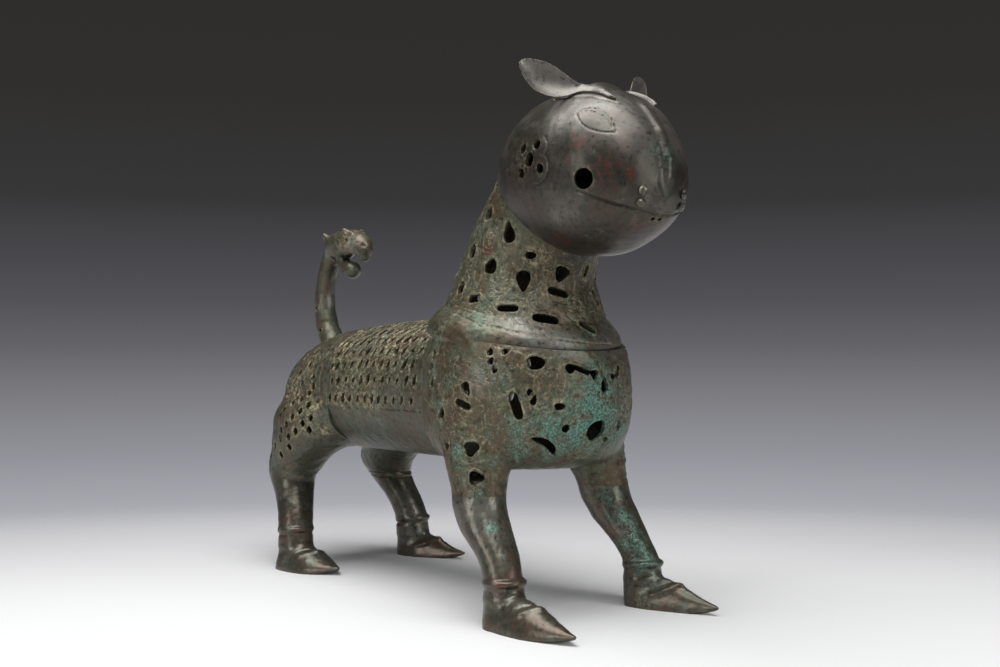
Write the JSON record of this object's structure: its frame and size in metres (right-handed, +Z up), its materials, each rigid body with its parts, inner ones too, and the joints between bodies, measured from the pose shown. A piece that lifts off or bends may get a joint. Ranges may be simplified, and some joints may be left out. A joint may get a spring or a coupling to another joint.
{
  "type": "lion incense burner",
  "caption": "Hollow cast-bronze lion standing on hooved legs, pierced with openwork vents; its head tips back on a nape hinge to reach the ember pan, and a beast-headed tail curls up behind.",
  "frame": {"origin": "on the ground, below the middle of the whole lion's box", "axes": "+X from the tail towards the nose, +Y to the lion's left, +Z up"},
  "size_m": [0.4194, 0.1498, 0.3567],
  "materials": {
    "dark_bronze": "dark brown-black bronze patina with tan earthy deposits, satin",
    "green_bronze": "dark green-black bronze patina with turquoise corrosion in the recesses, satin",
    "head_bronze": "smooth brown-black bronze with reddish copper patches, polished by handling",
    "rivet_bronze": "rubbed bronze, slightly brighter than its surroundings",
    "pan_bronze": "sooty bronze",
    "iron": "dark wrought iron, matt"
  },
  "bodies": {
    "body": {"rump_shell": "dark_bronze", "barrel_shell": "dark_bronze", "breast_shell": "green_bronze", "neck_shell": "green_bronze", "hind_leg_left": "dark_bronze", "hind_leg_right": "dark_bronze", "fore_leg_left": "dark_bronze", "fore_leg_right": "dark_bronze", "tail": "dark_bronze", "tail_key": "iron", "ember_pan": "pan_bronze", "neck_hinge_leaf": "dark_bronze", "neck_leaf_rivet_1": "rivet_bronze", "neck_leaf_rivet_2": "rivet_bronze", "hinge_pin": "iron"},
    "head": {"head_shell": "head_bronze", "head_hinge_leaf": "dark_bronze", "head_leaf_rivet_1": "rivet_bronze", "head_leaf_rivet_2": "rivet_bronze", "ear_left": "head_bronze", "ear_right": "head_bronze", "stud_upper_right": "rivet_bronze", "stud_upper_left": "rivet_bronze", "stud_lower_right": "rivet_bronze", "stud_lower_left": "rivet_bronze"}
  },
  "joints": [
    {"name": "head_hinge", "type": "hinge", "parent": "body", "child": "head", "pos_m": [0.06534, 0, 0.30142], "axis": [0, -1, 0], "range_deg": [0, 80]}
  ]
}
